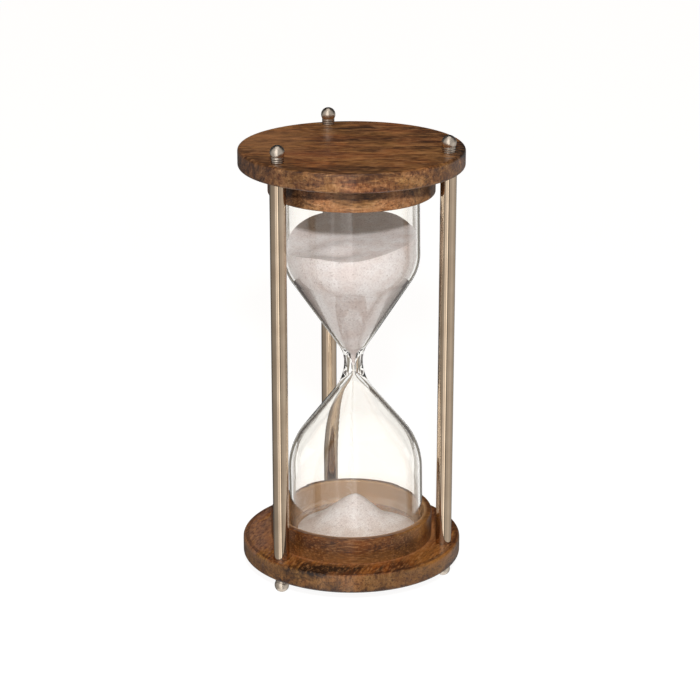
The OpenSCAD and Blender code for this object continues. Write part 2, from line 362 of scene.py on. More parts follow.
MARK_EDGE = (1.85, 2.6)  # ragged distance at which a mark is full, and ends
MOTTLES = ((0.52, 0.66, "#bd8a5c"), (0.48, 0.34, "#2a1509"))  # noise: starts, is full; colour
BORE_EDGE = (0.5 * MM, 2.6 * MM)  # outside a bore: the bare wood is whole, and ends
away = Vector((-math.sin(VIEW_TURN), math.cos(VIEW_TURN), 0))


def grainy(tree, place, size, axes=(0, 1, 1), **settings):
    """Noise in cells of two sizes. axes tells which of the two holds along X, Y and Z."""
    cells = add(tree, "Mapping", {"Vector": place, "Scale": [1 / size[i] for i in axes]})
    return add(tree, "TexNoise", {"Vector": cells, "Scale": 1.0, **settings})


def stained_wood(name, grain_turn, slice_at, tones, rim, rim_radius, marks=(), rings=(), mottle=None,
                 bare=0.0, lacquer=0.35):
    """Wood with its grain along grain_turn. tones are for the body, rim for the skin outside rim_radius.
    Marks are spots of another colour, some of them painted shade, rings are turned bands, mottle is
    short cells that take more or less stain, and inside the radius bare it is left unstained."""
    wood, tree = blank(name)
    place = add(tree, "TexCoord").outputs["Object"]
    log = add(tree, "Mapping", {"Vector": place, "Location": slice_at, "Rotation": (0, 0, -grain_turn)})
    streaks = grainy(tree, log, STREAK, Detail=6.0, Roughness=0.62, Distortion=0.9)
    figure = grainy(tree, log, FIGURE, Detail=4.0, Roughness=0.6)
    grain = add(tree, "Math", {0: figure, 1: FIGURE_SHARE, 2: streaks}, operation="MULTIPLY_ADD")
    grain = add(tree, "Math", {0: grain, 1: FIGURE_SHARE / 2}, operation="SUBTRACT")
    colour = add(tree, "ValToRGB", {"Fac": grain}, stops=tones)

    torn = grainy(tree, place, FLECK, (0, 0, 1), Detail=4.0, Roughness=0.65, Distortion=0.4)
    cloudy = add(tree, "Math", {0: streaks, 1: torn}, operation="ADD")
    cloudy = add(tree, "Math", {0: cloudy, 1: 0.5}, operation="MULTIPLY")
    worn = add(tree, "ValToRGB", {"Fac": cloudy}, stops=rim)
    flat = add(tree, "VectorMath", {0: place, 1: (1.0, 1.0, 0.0)}, operation="MULTIPLY")
    far = add(tree, "VectorMath", {0: flat}, operation="LENGTH").outputs["Value"]
    outer = add(tree, "MapRange", {"Value": far, "From Min": rim_radius - TORN_SKIN[0],
                "From Max": rim_radius - TORN_SKIN[1]})
    patches = grainy(tree, log, PATCH, Detail=3.0)
    some = add(tree, "MapRange", {"Value": patches, "From Min": WORN[0], "From Max": WORN[1], "To Min": 0.5})
    share = add(tree, "Math", {0: outer, 1: some}, operation="MULTIPLY")
    colour = add(tree, "MixRGB", {"Fac": share, "Color1": colour, "Color2": worn})
    tint = add(tree, "ValToRGB", {"Fac": patches}, stops=TINT)
    colour = add(tree, "MixRGB", {"Fac": 1.0, "Color1": colour, "Color2": tint}, blend_type="MULTIPLY")

    lines = grainy(tree, log, LINE, Detail=3.0, Distortion=0.5)
    lines = add(tree, "MapRange", {"Value": lines, "From Min": DARK_LINE[0], "From Max": DARK_LINE[1],
                "To Max": 0.6})
    colour = add(tree, "MixRGB", {"Fac": lines, "Color1": colour, "Color2": linear("#341c10")})
    pores = grainy(tree, log, PORE, Detail=1.0)
    pores = add(tree, "MapRange", {"Value": pores, "From Min": OPEN_PORE[0], "From Max": OPEN_PORE[1],
                "To Min": 0.55, "To Max": 0.0})
    colour = add(tree, "MixRGB", {"Fac": pores, "Color1": colour, "Color2": linear("#2b160c")})
    for right, behind, level, size, most, card in marks:
        centre = across * right * MM + away * behind * MM + Vector((0, 0, level))
        spot = add(tree, "Mapping", {"Vector": place, "Location": centre, "Rotation": (0, 0, VIEW_TURN),
                   "Scale": [s * MM for s in size]}, vector_type="TEXTURE")
        spot = add(tree, "VectorMath", {0: spot}, operation="LENGTH").outputs["Value"]
        ragged = add(tree, "Math", {0: grain, 1: RAGGED, 2: spot}, operation="MULTIPLY_ADD")
        pick = add(tree, "MapRange", {"Value": ragged, "From Min": MARK_EDGE[0], "From Max": MARK_EDGE[1],
                   "To Min": most, "To Max": 0.0})
        colour = add(tree, "MixRGB", {"Fac": pick, "Color1": colour, "Color2": linear(card)})
    if mottle:
        long, wide, face_share, rim_share = mottle
        cells = grainy(tree, log, (long * MM, wide * MM), Detail=3.0, Roughness=0.65)
        share = add(tree, "MapRange", {"Value": outer, "To Min": face_share, "To Max": rim_share})
        for start, full, card in MOTTLES:
            pick = add(tree, "MapRange", {"Value": cells, "From Min": start, "From Max": full})
            pick = add(tree, "Math", {0: pick, 1: share}, operation="MULTIPLY")
            colour = add(tree, "MixRGB", {"Fac": pick, "Color1": colour, "Color2": linear(card)})
    for radius, half, most, card in rings:
        off = add(tree, "Math", {0: far, 1: radius, 2: half}, operation="COMPARE")
        near = add(tree, "MapRange", {"Value": figure, "From Min": 0.3, "From Max": 0.6, "To Min": most,
                   "To Max": most * 0.5})
        pick = add(tree, "Math", {0: off, 1: near}, operation="MULTIPLY")
        colour = add(tree, "MixRGB", {"Fac": pick, "Color1": colour, "Color2": linear(card)})
    if bare:
        inner = add(tree, "MapRange", {"Value": far, "From Min": bare + BORE_EDGE[0],
                    "From Max": bare + BORE_EDGE[1], "To Min": 0.88, "To Max": 0.0})
        colour = add(tree, "MixRGB", {"Fac": inner, "Color1": colour, "Color2": linear(BARE_WOOD)})

    height = add(tree, "Math", {0: pores, 1: lines}, operation="ADD")
    dents = add(tree, "Bump", {"Height": height, "Strength": 0.25, "Distance": 0.2 * MM}, invert=True)
    gloss = add(tree, "MapRange", {"Value": streaks, "From Min": 0.3, "From Max": 0.7, "To Min": 0.36,
                "To Max": 0.5})
    skin = add(tree, "BsdfPrincipled", {"Base Color": colour, "Roughness": gloss, "Normal": dents,
               "IOR": 1.5, "Specular IOR Level": 0.3, "Coat Weight": lacquer, "Coat Roughness": 0.15})
    add(tree, "OutputMaterial", {"Surface": skin})
    return wood


# %% Boards and collars
TINT = [(0.36, "#d2c8aa"), (0.48, "#ece0ce"), (0.62, "#fadfcc")]
BODY = [(0.3, "#54300f"), (0.43, "#8a5b30"), (0.56, "#ab7a48"), (0.72, "#c99a66")]
LOW_BODY = [(0.3, "#43240e"), (0.43, "#754521"), (0.56, "#96622f"), (0.72, "#b88847")]
RIM = [(0.36, "#3a2214"), (0.45, "#7a5030"), (0.53, "#9e7650"), (0.64, "#c8a47e")]
LOW_RIM = [(0.34, "#563e20"), (0.44, "#78562e"), (0.54, "#8a6a42"), (0.66, "#9c7b4f")]
PALE = [(0.3, "#5e3c1e"), (0.43, "#9e7249"), (0.56, "#bd9570"), (0.72, "#dabb98")]
RED = [(0.3, "#36200c"), (0.43, "#5e3a18"), (0.56, "#744b24"), (0.72, "#8e663a")]
COLLAR_WALL = 5.1 * MM
collar_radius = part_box("top_ring")[1].x
bore_radius = collar_radius - COLLAR_WALL
top_face, under_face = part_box("top_plate")[1].z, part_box("bottom_plate")[0].z
DARK = "#2a1408"
# mm to the right of the camera's line and behind the axis, height, half sizes in mm, share, colour
TOP_MARKS = [(-5, 15, top_face, (48, 5, 4), 0.55, DARK), (8, 44, top_face, (20, 11, 4), 0.45, DARK),
             (11, -11, top_face, (9, 6, 4), 0.5, DARK), (0, -61, top_face, (32, 13, 4), 0.6, DARK),
             (67, -12, top_face, (8, 27, 4), 0.95, "#1e0f06"),
             # the next three marks darken the board's rim towards its left and right ends and at the front
             # left
             (-67, -22, top_face - 8 * MM, (22, 30, 16), 0.75, DARK),
             (-42, -56, top_face - 6 * MM, (24, 16, 9), 0.4, DARK),
             (62, -32, top_face - 6 * MM, (16, 18, 14), 0.35, DARK),
             (-30, -20, top_face, (22, 14, 4), 0.3, "#8c5038"),
             (-50, 12, top_face, (22, 36, 4), 0.45, "#b98558"),
             (46, 18, top_face, (22, 26, 4), 0.35, DARK)]
LOW_MARKS_AND_SHADE = [(0, 0, deck, (38, 38, 5), 0.95, BARE_WOOD), (-18, -59, deck, (27, 9, 5), 1.0, "#1a0c04"),
             (30, -55, deck, (6, 9, 5), 0.6, DARK), (52, -38, deck, (16, 18, 5), 0.4, "#b87c38"),
             (-58, -2, deck, (13, 36, 5), 0.55, "#a27c68"),
             # the next three marks are painted shade: they darken the lower board's bottom edge along its
             # front and right
             (-30, -64, under_face, (44, 16, 3.2), 0.85, DARK),
             (20, -70, under_face, (40, 8, 2.4), 0.7, DARK),
             (66, -30, under_face, (14, 34, 2.6), 0.7, DARK)]
# the upper collar's first mark is painted shade: it darkens the collar's top band under the board, where the
# board's shadow falls
TOP_RING_MARKS_AND_SHADE = [(0, 0, ceiling, (90, 90, 11), 0.75, DARK),
                  (-42, -34, ceiling - 10 * MM, (22, 22, 16), 0.7, DARK)]
LOW_RING_MARKS = [(0, 0, deck, (90, 90, 6), 0.3, "#9a6c40"),
                  (42, -28, deck + 16 * MM, (16, 20, 9), 0.5, "#a8783c"),
                  (36, -38, deck + 8 * MM, (9, 9, 9), 0.5, DARK),
                  (-30, -44, deck + 16 * MM, (24, 16, 8), 0.3, DARK)]
# turned bands of the lower board: radius, half width, share, colour
LOW_RINGS = [(collar_radius + 0.9 * MM, 0.9 * MM, 0.6, "#b98055"),
             (collar_radius + 3.4 * MM, 1.6 * MM, 0.3, "#a8703f"),
             (board_radius - 2.6 * MM, 1.2 * MM, 0.6, DARK)]
# mottle: length and width in mm, and its share on the faces and on the rim
woods = {
    "top_plate": stained_wood(
        "stained mango wood, lacquered, upper board", VIEW_TURN, (0.3, 0.035, -0.20), BODY, RIM,
        board_radius, marks=TOP_MARKS, mottle=(7, 2.0, 0.55, 0.25)),
    "bottom_plate": stained_wood(
        "stained mango wood, lacquered, lower board", VIEW_TURN + math.radians(70), (0.9, -0.055, 0.06),
        LOW_BODY, LOW_RIM, board_radius, marks=LOW_MARKS_AND_SHADE, rings=LOW_RINGS, mottle=(4.5, 1.5, 0.6, 0.15)),
    "top_ring": stained_wood(
        "stained mango wood, lacquered, upper collar", VIEW_TURN, (1.7, 0.04, -0.28), PALE, PALE,
        collar_radius, marks=TOP_RING_MARKS_AND_SHADE, mottle=(6, 0.9, 0.35, 0.35), bare=bore_radius, lacquer=0.12),
    "bottom_ring": stained_wood(
        "stained mango wood, lacquered, lower collar", VIEW_TURN, (2.3, 0.05, 0.07), RED, RED,
        collar_radius, marks=LOW_RING_MARKS, mottle=(6, 1.0, 0.32, 0.32), bare=bore_radius, lacquer=0.2),
}


def finish_node(node, material):
    """Gives a ready made node its finish."""
    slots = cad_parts[node].data.materials
    slots.clear()
    slots.append(material)


for node, wood in woods.items():
    finish_node(node, wood)
print("wooden pieces:", len(woods))

# %% [markdown]
# ## Drawn and turned metal
# The posts are thin tubes of nickel plated steel, gone a little brown. Drawing and rubbing leave fine
# lines along their length. The nuts are turned on a lathe, so their lines run round them, and three
# turned grooves on each neck give the fingers a hold.

# %% Metal
DRAW_LINE = (60 * MM, 0.4 * MM)  # length and width of the lines along a tube
TURN_LINE = 0.4 * MM  # width of the lines round a nut
GROOVE = 1.2 * MM  # from one turned groove of a nut's neck to the next
GROOVE_CUT = (0.1 * MM, 0.3 * MM)  # beside a groove's middle: cut to its full depth, and not at all
NECK = 3.6 * MM  # the neck's height over the board
board_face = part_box("top_plate")[1].z - middle  # a board's outer face, from the middle


def plated_metal(name, card, line_size, rough, grooves=False):
    """Polished metal with lines of line_size. Grooves run round it next to the boards' outer faces."""
    metal, tree = blank(name)
    place = add(tree, "TexCoord").outputs["Object"]
    drawn = add(tree, "Mapping", {"Vector": place, "Scale": [1 / s for s in line_size]})
    lines = add(tree, "TexNoise", {"Vector": drawn, "Scale": 1.0, "Detail": 2.0})
    cloud = add(tree, "TexNoise", {"Vector": place, "Scale": 1 / (18 * MM), "Detail": 2.0})
    tone = add(tree, "ValToRGB", {"Fac": cloud}, stops=card)
    gloss = add(tree, "MapRange", {"Value": lines, "From Min": 0.35, "From Max": 0.65,
                "To Min": rough - 0.04, "To Max": rough + 0.04})
    ridges = add(tree, "Bump", {"Height": lines, "Strength": 0.06, "Distance": 0.05 * MM})
    if grooves:
        level = add(tree, "SeparateXYZ", {"Vector": place}).outputs["Z"]
        side = add(tree, "Math", {0: level, 1: middle}, operation="SUBTRACT")
        side = add(tree, "Math", {0: side}, operation="ABSOLUTE")
        over = add(tree, "Math", {0: side, 1: board_face}, operation="SUBTRACT")
        fold = add(tree, "Math", {0: over, 1: GROOVE / 2}, operation="PINGPONG")
        cut = add(tree, "MapRange", {"Value": fold, "From Min": GROOVE_CUT[0], "From Max": GROOVE_CUT[1],
                  "To Min": 1.0, "To Max": 0.0})
        neck = add(tree, "Math", {0: over, 1: NECK}, operation="LESS_THAN")
        cut = add(tree, "Math", {0: cut, 1: neck}, operation="MULTIPLY")
        # the grooves are also coloured darker than the metal: painted shade in the recesses
        tone = add(tree, "MixRGB", {"Fac": cut, "Color1": tone, "Color2": linear("#4f453c")})
        ridges = add(tree, "Bump", {"Height": cut, "Strength": 0.8, "Distance": 0.2 * MM, "Normal": ridges},
                     invert=True)
    skin = add(tree, "BsdfPrincipled", {"Base Color": tone, "Metallic": 1.0, "Roughness": gloss,
               "Normal": ridges})
    add(tree, "OutputMaterial", {"Surface": skin})
    return metal


tube = plated_metal("nickel plated steel tube, drawn and rubbed", [(0.35, "#bba58d"), (0.65, "#c6b199")],
                    (DRAW_LINE[1], DRAW_LINE[1], DRAW_LINE[0]), 0.08)
turned = plated_metal("nickel plated brass, turned and polished", [(0.35, "#cbbcab"), (0.65, "#d6c9ba")],
                      (4 * MM, 4 * MM, TURN_LINE), 0.27, grooves=True)
rod = plated_metal("zinc plated steel rod", [(0.35, "#8f9296"), (0.65, "#a6a9ad")],
                   (2 * MM, 2 * MM, TURN_LINE), 0.35)
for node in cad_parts:
    if node.startswith("post_"):
        finish_node(node, tube)
    if node.startswith("tie_rod_"):
        finish_node(node, rod)
    if node.startswith("ball_nut_"):
        finish_node(node, turned)
print("metal pieces:", sum(n.startswith(("post_", "tie_rod_", "ball_nut_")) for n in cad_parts))

# %% [markdown]
# ## A lathe
# The glass, the sand, the felt and the stopper are all round. Each starts as one line, drawn point
# by point with Extrude from a single corner, and Spin turns the line round the upright axis. A line
# of several strokes leaves out the stretches that lie on the axis, where a face would have no width.

# %% Lathe
def arc(centre, radius, start, stop, pieces=14):
    """Points on an arc of a profile, from one angle to another, in degrees."""
    turns = [math.radians(start + (stop - start) * i / pieces) for i in range(pieces + 1)]
    return [(centre[0] + radius * math.cos(t), centre[1] + radius * math.sin(t)) for t in turns]


def lathe(name, strokes, steps=160):
    """Draws the strokes, each a list of (distance from the axis, height), and spins them."""
    bpy.ops.object.select_all(action="DESELECT")
    bpy.ops.mesh.primitive_plane_add(size=MM, location=(0, 0, 0))
    piece = bpy.context.object
    piece.name = piece.data.name = name
    bpy.ops.object.mode_set(mode="EDIT")
    bpy.ops.mesh.merge(type="CENTER")
    here = (0, 0)
    for number, stroke in enumerate(strokes):
        for i, point in enumerate(stroke):
            step = {"value": (point[0] - here[0], 0, point[1] - here[1])}
            if i:
                bpy.ops.mesh.extrude_vertices_move(TRANSFORM_OT_translate=step)
            elif number:
                bpy.ops.mesh.duplicate_move(TRANSFORM_OT_translate=step)
            else:
                bpy.ops.transform.translate(**step)
            here = point
    bpy.ops.mesh.select_all(action="SELECT")
    bpy.ops.mesh.remove_doubles(threshold=0.001 * MM)
    bpy.ops.mesh.spin(steps=steps, angle=2 * math.pi, center=(0, 0, 0), axis=(0, 0, 1))
    bpy.ops.mesh.select_all(action="SELECT")
    bpy.ops.mesh.remove_doubles(threshold=0.001 * MM)
    bpy.ops.mesh.normals_make_consistent(inside=False)
    bpy.ops.object.mode_set(mode="OBJECT")
    return piece


def place_piece(piece, material, slot, *nodes, body="stand"):
    """Gives a piece its finish and its body, and lets it stand for the frame's plain solids."""
    piece.data.materials.append(material)
    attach(piece, body)
    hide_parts(*nodes)
    print(piece.name, "faces:", len(piece.data.polygons))


print("lathe ready")

# %% [markdown]
# ## The blown glass
# A glassblower draws a tube together at its waist until a hole of two millimetres is left, and
# closes both ends round. The wall is 2.2 mm all over. The profile is drawn once for each bulb, as
# arcs about named radii, and once more a wall's thickness inside. The glass was set by hand and
# leans one degree. Light for the sand goes straight through it, and a little fine dust clings to
# the lower bulb, so that bulb is a touch less clear.

# %% Glass profile
BULB = 42.8 * MM  # outer radius of both bulbs
WALL = 2.2 * MM
WAIST, HOLE = 5.9 * MM, 1.0 * MM  # outer and inner radius of the waist
END_ROUND = 8 * MM
FILLING = 7 * MM  # radius of the filling hole
FELT = 2 * MM  # between the glass and a board
WAIST_DROP = 5 * MM  # of the waist under the middle of the stand
CREASE = math.radians(40)  # edges sharper than this stay sharp
LEAN, LEAN_WAY, WAIST_OFF = math.radians(1), math.radians(346), 1.2 * MM

UPPER = {"cone": 33.5, "shoulder": 29 * MM, "waist_round": 20 * MM, "throat_round": 15 * MM}
LOWER = {"cone": 38.5, "shoulder": 44 * MM, "waist_round": 30 * MM, "throat_round": 5 * MM}
UPPER["length"] = (ceiling - deck) / 2 - FELT + WAIST_DROP
LOWER["length"] = (ceiling - deck) / 2 - FELT - WAIST_DROP
SHORTEST_HOLE = 0.5 * MM


def shoulder_height(side):
    """Height over the waist at which the bulb's wall has turned upright."""
    cone = math.radians(side["cone"])
    rounds = side["waist_round"] + side["shoulder"]
    return rounds * math.sin(cone) + (BULB - WAIST - rounds * (1 - math.cos(cone))) / math.tan(cone)


def throat_height(side):
    """Height over the waist at which the hole starts to open, for an even wall."""
    cone = math.radians(side["cone"])
    slack = (side["waist_round"] - side["throat_round"]) * (1 - math.cos(cone))
    return (slack + WALL - math.cos(cone) * (WAIST - HOLE)) / math.sin(cone)


LOWER["throat"] = throat_height(LOWER)
UPPER["throat"] = max(throat_height(UPPER), SHORTEST_HOLE - LOWER["throat"])


def profile(side, neck, curve, curve_up, skin):
    """Points from the waist to the closed end, skin deep under the outer surface."""
    return (arc((neck + curve, curve_up), curve, 180, 180 - side["cone"])
            + arc((BULB - side["shoulder"], shoulder_height(side)), side["shoulder"] - skin, -side["cone"], 0)
            + arc((BULB - END_ROUND, side["length"] - END_ROUND), END_ROUND - skin, 0, 90))


def outside(side):
    return profile(side, WAIST, side["waist_round"], 0, 0)


def inside(side, gap=0.0):
    return profile(side, HOLE - gap, side["throat_round"] + gap, side["throat"], WALL + gap)


def below(points):
    return [(r, -z) for r, z in points]


print("shoulders", [round(shoulder_height(side) / MM, 1) for side in (UPPER, LOWER)], "mm from the waist")

# %% Stand the glass
waist_x, waist_y = WAIST_OFF * math.cos(LEAN_WAY), WAIST_OFF * math.sin(LEAN_WAY)
waist_place = Matrix.Translation((waist_x, waist_y, middle - WAIST_DROP))
glass_place = waist_place @ Matrix.Rotation(LEAN_WAY, 4, "Z") @ Matrix.Rotation(-LEAN, 4, "Y")


def stand_in_place(piece, place):
    """Moves a piece's mesh where it stands and leaves its object at the origin."""
    bpy.ops.object.select_all(action="DESELECT")
    piece.select_set(True)
    bpy.context.view_layer.objects.active = piece
    piece.matrix_world = place
    bpy.ops.object.transform_apply(location=True, rotation=True, scale=True)


top_end, bottom_end = UPPER["length"], -LOWER["length"]
glass = lathe("blown_glass", [
    [(FILLING, top_end)] + outside(UPPER)[::-1] + below(outside(LOWER)) + [(0, bottom_end)],
    [(0, bottom_end + WALL)] + below(inside(LOWER))[::-1] + inside(UPPER)
    + [(FILLING, top_end - WALL), (FILLING, top_end)]], steps=192)
bpy.ops.object.shade_smooth_by_angle(angle=CREASE)
stand_in_place(glass, glass_place)

DUST = 0.09  # share of each surface that the dust covers, low in the glass
DUST_LOW, DUST_HIGH = 13 * MM, 27 * MM  # over the board: full dust, and next to none
clear, tree = blank("soda lime glass, blown and fire polished")
path = add(tree, "LightPath")
place = add(tree, "TexCoord").outputs["Object"]
cloud = add(tree, "TexNoise", {"Vector": place, "Scale": 1 / (9 * MM), "Detail": 4.0})
height = add(tree, "SeparateXYZ", {"Vector": place}).outputs["Z"]
low = add(tree, "MapRange", {"Value": height, "From Min": deck + DUST_HIGH, "From Max": deck + DUST_LOW})
tint = add(tree, "ValToRGB", {"Fac": low}, stops=[(0.0, "#fffefb"), (1.0, "#fbf5ed")])
cloud = add(tree, "MapRange", {"Value": cloud, "From Min": 0.3, "From Max": 0.7, "To Min": 0.7})
dusty = add(tree, "Math", {0: low, 1: cloud}, operation="MULTIPLY")
through = add(tree, "MapRange", {"Value": dusty, "To Min": 0.998, "To Max": 1 - DUST})
pane = add(tree, "BsdfPrincipled", {"Base Color": tint, "Roughness": 0.0, "IOR": 1.51,
           "Transmission Weight": through})
hole = add(tree, "BsdfTransparent", {"Color": linear("#f8f9f8")})
unseen = add(tree, "Math", {0: path.outputs["Is Shadow Ray"], 1: path.outputs["Is Diffuse Ray"]},
             operation="MAXIMUM")
either = add(tree, "MixShader", {0: unseen, 1: pane, 2: hole})
add(tree, "OutputMaterial", {"Surface": either})
place_piece(glass, clear, "bulb_glass", "glass_bulb")

# %% [markdown]
# ## White sand
# Washed quartz sand, grains of about a third of a millimetre. Single grains wouldn't show, so they
# are drawn more than twice as wide. Most are milky, a few are grey or rose.

# %% Sand
GRAIN = 0.8 * MM


def quartz(name, card):
    """Sand in the tones of card."""
    sand, tree = blank(name)
    place = add(tree, "TexCoord").outputs["Object"]
    grains = add(tree, "TexVoronoi", {"Vector": place, "Scale": 1 / GRAIN})
    single = add(tree, "SeparateColor", {"Color": grains.outputs["Color"]})
    tone = add(tree, "ValToRGB", {"Fac": single}, stops=card)
    patch = add(tree, "TexNoise", {"Vector": place, "Scale": 1 / (11 * MM), "Detail": 3.0})
    spread = add(tree, "ValToRGB", {"Fac": patch}, stops=[(0.36, "#f2ebe8"), (0.62, "#ffffff")])
    mixed = add(tree, "MixRGB", {"Fac": 1.0, "Color1": tone, "Color2": spread}, blend_type="MULTIPLY")
    bumps = add(tree, "Bump", {"Height": single.outputs[1], "Strength": 0.12, "Distance": 0.25 * MM})
    skin = add(tree, "BsdfPrincipled", {"Base Color": mixed, "Roughness": 0.9, "Normal": bumps,
               "Specular IOR Level": 0.2})
    add(tree, "OutputMaterial", {"Surface": skin})
    return sand


upper_quartz = quartz("washed quartz sand, loose",
                      [(0.0, "#d2c9cc"), (0.06, "#e6dfe3"), (0.5, "#f1ebef"), (1.0, "#f8f4f8")])
lower_quartz = quartz("washed quartz sand, fresh fallen",
                      [(0.0, "#cdc5c8"), (0.06, "#e1dadd"), (0.5, "#ebe6e9"), (1.0, "#f4f1f4")])
falling_quartz = quartz("washed quartz sand, in the air",
                        [(0.0, "#f3efec"), (0.5, "#faf8f6"), (1.0, "#ffffff")])
print("grains drawn", GRAIN / MM, "mm wide")


def reshape(piece, move):
    """Moves every corner of a piece's mesh by a function of the corners' places."""
    corners = np.empty(len(piece.data.vertices) * 3, np.float32)
    piece.data.vertices.foreach_get("co", corners)
    piece.data.vertices.foreach_set("co", move(corners.reshape(-1, 3)).astype(np.float32).ravel())
    piece.data.update()


# %% [markdown]
# ## The sand in the upper bulb
# It fills the funnel. Its surface lies higher at the back and on the right, where the glass was
# knocked, and slips down to the left in front. A list gives its height round the wall, and a small
# hollow lies behind the front. The piece is spun with a flat top of many rings, and then the top's
# corners are moved to that surface. The wall between the shoulder and the rim stretches with it.

# %% Upper sand
SAND_GAP = 0.15 * MM
FRONT = math.degrees(math.radians(-90) + VIEW_TURN - LEAN_WAY)  # the camera's side, as the glass counts
# degrees to the right of the camera's side, and height over the waist in mm
RIM_HEIGHTS = [(-180, 88.2), (-145, 87.2), (-125, 84.4), (-107, 81.5), (-90, 77.8), (-71, 75.0),
               (-51, 76.6), (-30, 78.6), (-13, 76.9), (8, 77.2), (24, 79.3), (41, 81.4), (57, 82.6),
               (75, 84.0), (107, 84.7), (120, 86.0), (136, 88.0), (180, 88.2)]
BLUR = (-8, -4, 0, 4, 8)  # degrees over which the list's corners are rounded
SAND_MIDDLE = 80.5 * MM
RISE = 1.4  # how late the surface rises towards the wall
HOLLOW = (-9 * MM, 24 * MM, 8 * MM, 3.0 * MM)  # to the right, to the front, its width and depth
HOLLOW_STRETCH = 0.4  # makes it longer from left to right
RINGS = 48  # of corners on the sand's surface
inner_wall = BULB - WALL - SAND_GAP


def bearing_of(x, y):
    """Degrees to the right of the camera's side."""
    return (np.degrees(np.arctan2(y, x)) - FRONT + 180) % 360 - 180


def upper_surface(x, y):
    """Height of the sand over the waist."""
    turn = bearing_of(x, y)
    turns = [(turn + step + 180) % 360 - 180 for step in BLUR]
    rim = sum(np.interp(t, *zip(*RIM_HEIGHTS)) for t in turns) / len(BLUR) * MM
    far = np.hypot(x, y)
    side, ahead = far * np.sin(np.radians(turn)), far * np.cos(np.radians(turn))
    hollow = np.exp(-((side - HOLLOW[0]) ** 2 * HOLLOW_STRETCH + (ahead - HOLLOW[1]) ** 2) / HOLLOW[2] ** 2)
    return SAND_MIDDLE + (rim - SAND_MIDDLE) * (far / inner_wall) ** RISE - HOLLOW[3] * hollow


wall_base = shoulder_height(UPPER) + 0.1 * MM
funnel = [p for p in inside(UPPER, SAND_GAP) if p[1] < wall_base]
rings = [(inner_wall * i / RINGS, SAND_MIDDLE) for i in range(RINGS, -1, -1)]
upright = [(inner_wall, wall_base + (SAND_MIDDLE - wall_base) * i / 6) for i in range(7)]
upper_sand = lathe("sand_in_upper_bulb", [[(0, UPPER["throat"])] + funnel + upright[:-1] + rings])


def lift(corners):
    share = np.clip((corners[:, 2] - wall_base) / (SAND_MIDDLE - wall_base), 0, 1)
    corners[:, 2] += share * (upper_surface(corners[:, 0], corners[:, 1]) - SAND_MIDDLE)
    return corners


reshape(upper_sand, lift)
bpy.ops.object.shade_smooth_by_angle(angle=CREASE)
stand_in_place(upper_sand, glass_place)
place_piece(upper_sand, upper_quartz, "sand", "sand_upper")

# %% [markdown]
# ## The heap
# Sand that has run through piles up in a cone at its angle of rest, and it doesn't reach the wall
# everywhere. An older slip left the right side steep at the top and flat below. For eight bearings a
# list gives how far the foot reaches and eleven heights from the tip to the foot. A corner of the
# mesh takes its share of the two lists that it lies between.

# %% Heap
# degrees to the right of the camera's side: how far the foot reaches, and heights, in mm
HEAP_SIDES = {
    -180: (32.0, [22, 20.4, 18.0, 15.3, 12.7, 10.0, 7.7, 5.5, 3.4, 1.6, 0.0]),
    -130: (35.0, [22, 20.3, 17.9, 15.2, 12.6, 9.9, 7.6, 5.4, 3.2, 1.5, 0.2]),
    -87: (37.8, [22, 20.2, 17.6, 15.0, 12.4, 9.8, 7.4, 5.2, 3.3, 2.0, 1.2]),
    0: (38.5, [22, 20.2, 17.7, 15.2, 12.7, 10.3, 8.0, 5.9, 4.0, 2.4, 1.3]),
    45: (38.5, [22, 19.9, 17.0, 14.2, 11.6, 9.4, 7.6, 5.9, 4.2, 2.6, 1.3]),
    90: (37.5, [22, 19.2, 16.0, 12.6, 9.8, 8.2, 7.1, 5.9, 4.5, 2.9, 1.3]),
    120: (33.2, [22, 19.4, 16.0, 13.0, 9.6, 6.6, 4.9, 4.1, 3.2, 1.8, 0.2]),
    145: (27.4, [22, 20.0, 17.2, 13.9, 10.7, 7.8, 5.3, 3.3, 1.7, 0.7, 0.0]),
    180: (32.0, [22, 20.4, 18.0, 15.3, 12.7, 10.0, 7.7, 5.5, 3.4, 1.6, 0.0])}
TIP_ROUND = 0.1  # of the way to the foot
heap_floor = bottom_end + WALL + SAND_GAP
heap_top = HEAP_SIDES[0][1][0] * MM
HEAP_STEPS = len(HEAP_SIDES[0][1]) - 1  # from the tip to the foot
end_curve = END_ROUND - WALL - SAND_GAP  # radius at which the glass's inside turns up
HEAP_CREASE = math.radians(50)


def bowl(far):
    """Height of the glass's inside over its flat middle, at a distance from the axis."""
    into = np.clip(far - (inner_wall - end_curve), 0, end_curve)
    return end_curve - np.sqrt(end_curve ** 2 - into ** 2)


under = [(inner_wall * (1 - i / 12), heap_floor) for i in range(1, 13)]
upper = [(inner_wall * i / RINGS, heap_floor + heap_top) for i in range(RINGS + 1)]
heap = lathe("heap_in_lower_bulb", [upper + under])


def settle(corners):
    turn = bearing_of(corners[:, 0], corners[:, 1])
    out = np.hypot(corners[:, 0], corners[:, 1]) / inner_wall
    sides = list(HEAP_SIDES)
    foot = np.interp(turn, sides, [reach for reach, heights in HEAP_SIDES.values()])
    table = np.stack([np.interp(turn, sides, [heights[k] for reach, heights in HEAP_SIDES.values()])
                      for k in range(HEAP_STEPS + 1)])
    place = HEAP_STEPS * np.clip(np.hypot(out, TIP_ROUND) - TIP_ROUND * (1 - out), 0, 0.9999)
    step, row = place.astype(int), np.arange(len(corners))
    height = table[step, row] + (table[step + 1, row] - table[step, row]) * (place - step)
    corners[:, :2] *= (foot * MM / inner_wall)[:, None]
    floor_here = bowl(foot * MM * out)
    top = corners[:, 2] > heap_floor + heap_top / 2
    corners[:, 2] = heap_floor + floor_here
    corners[top, 2] = heap_floor + np.maximum(height[top] * MM, floor_here[top] + 0.02 * MM)
    return corners


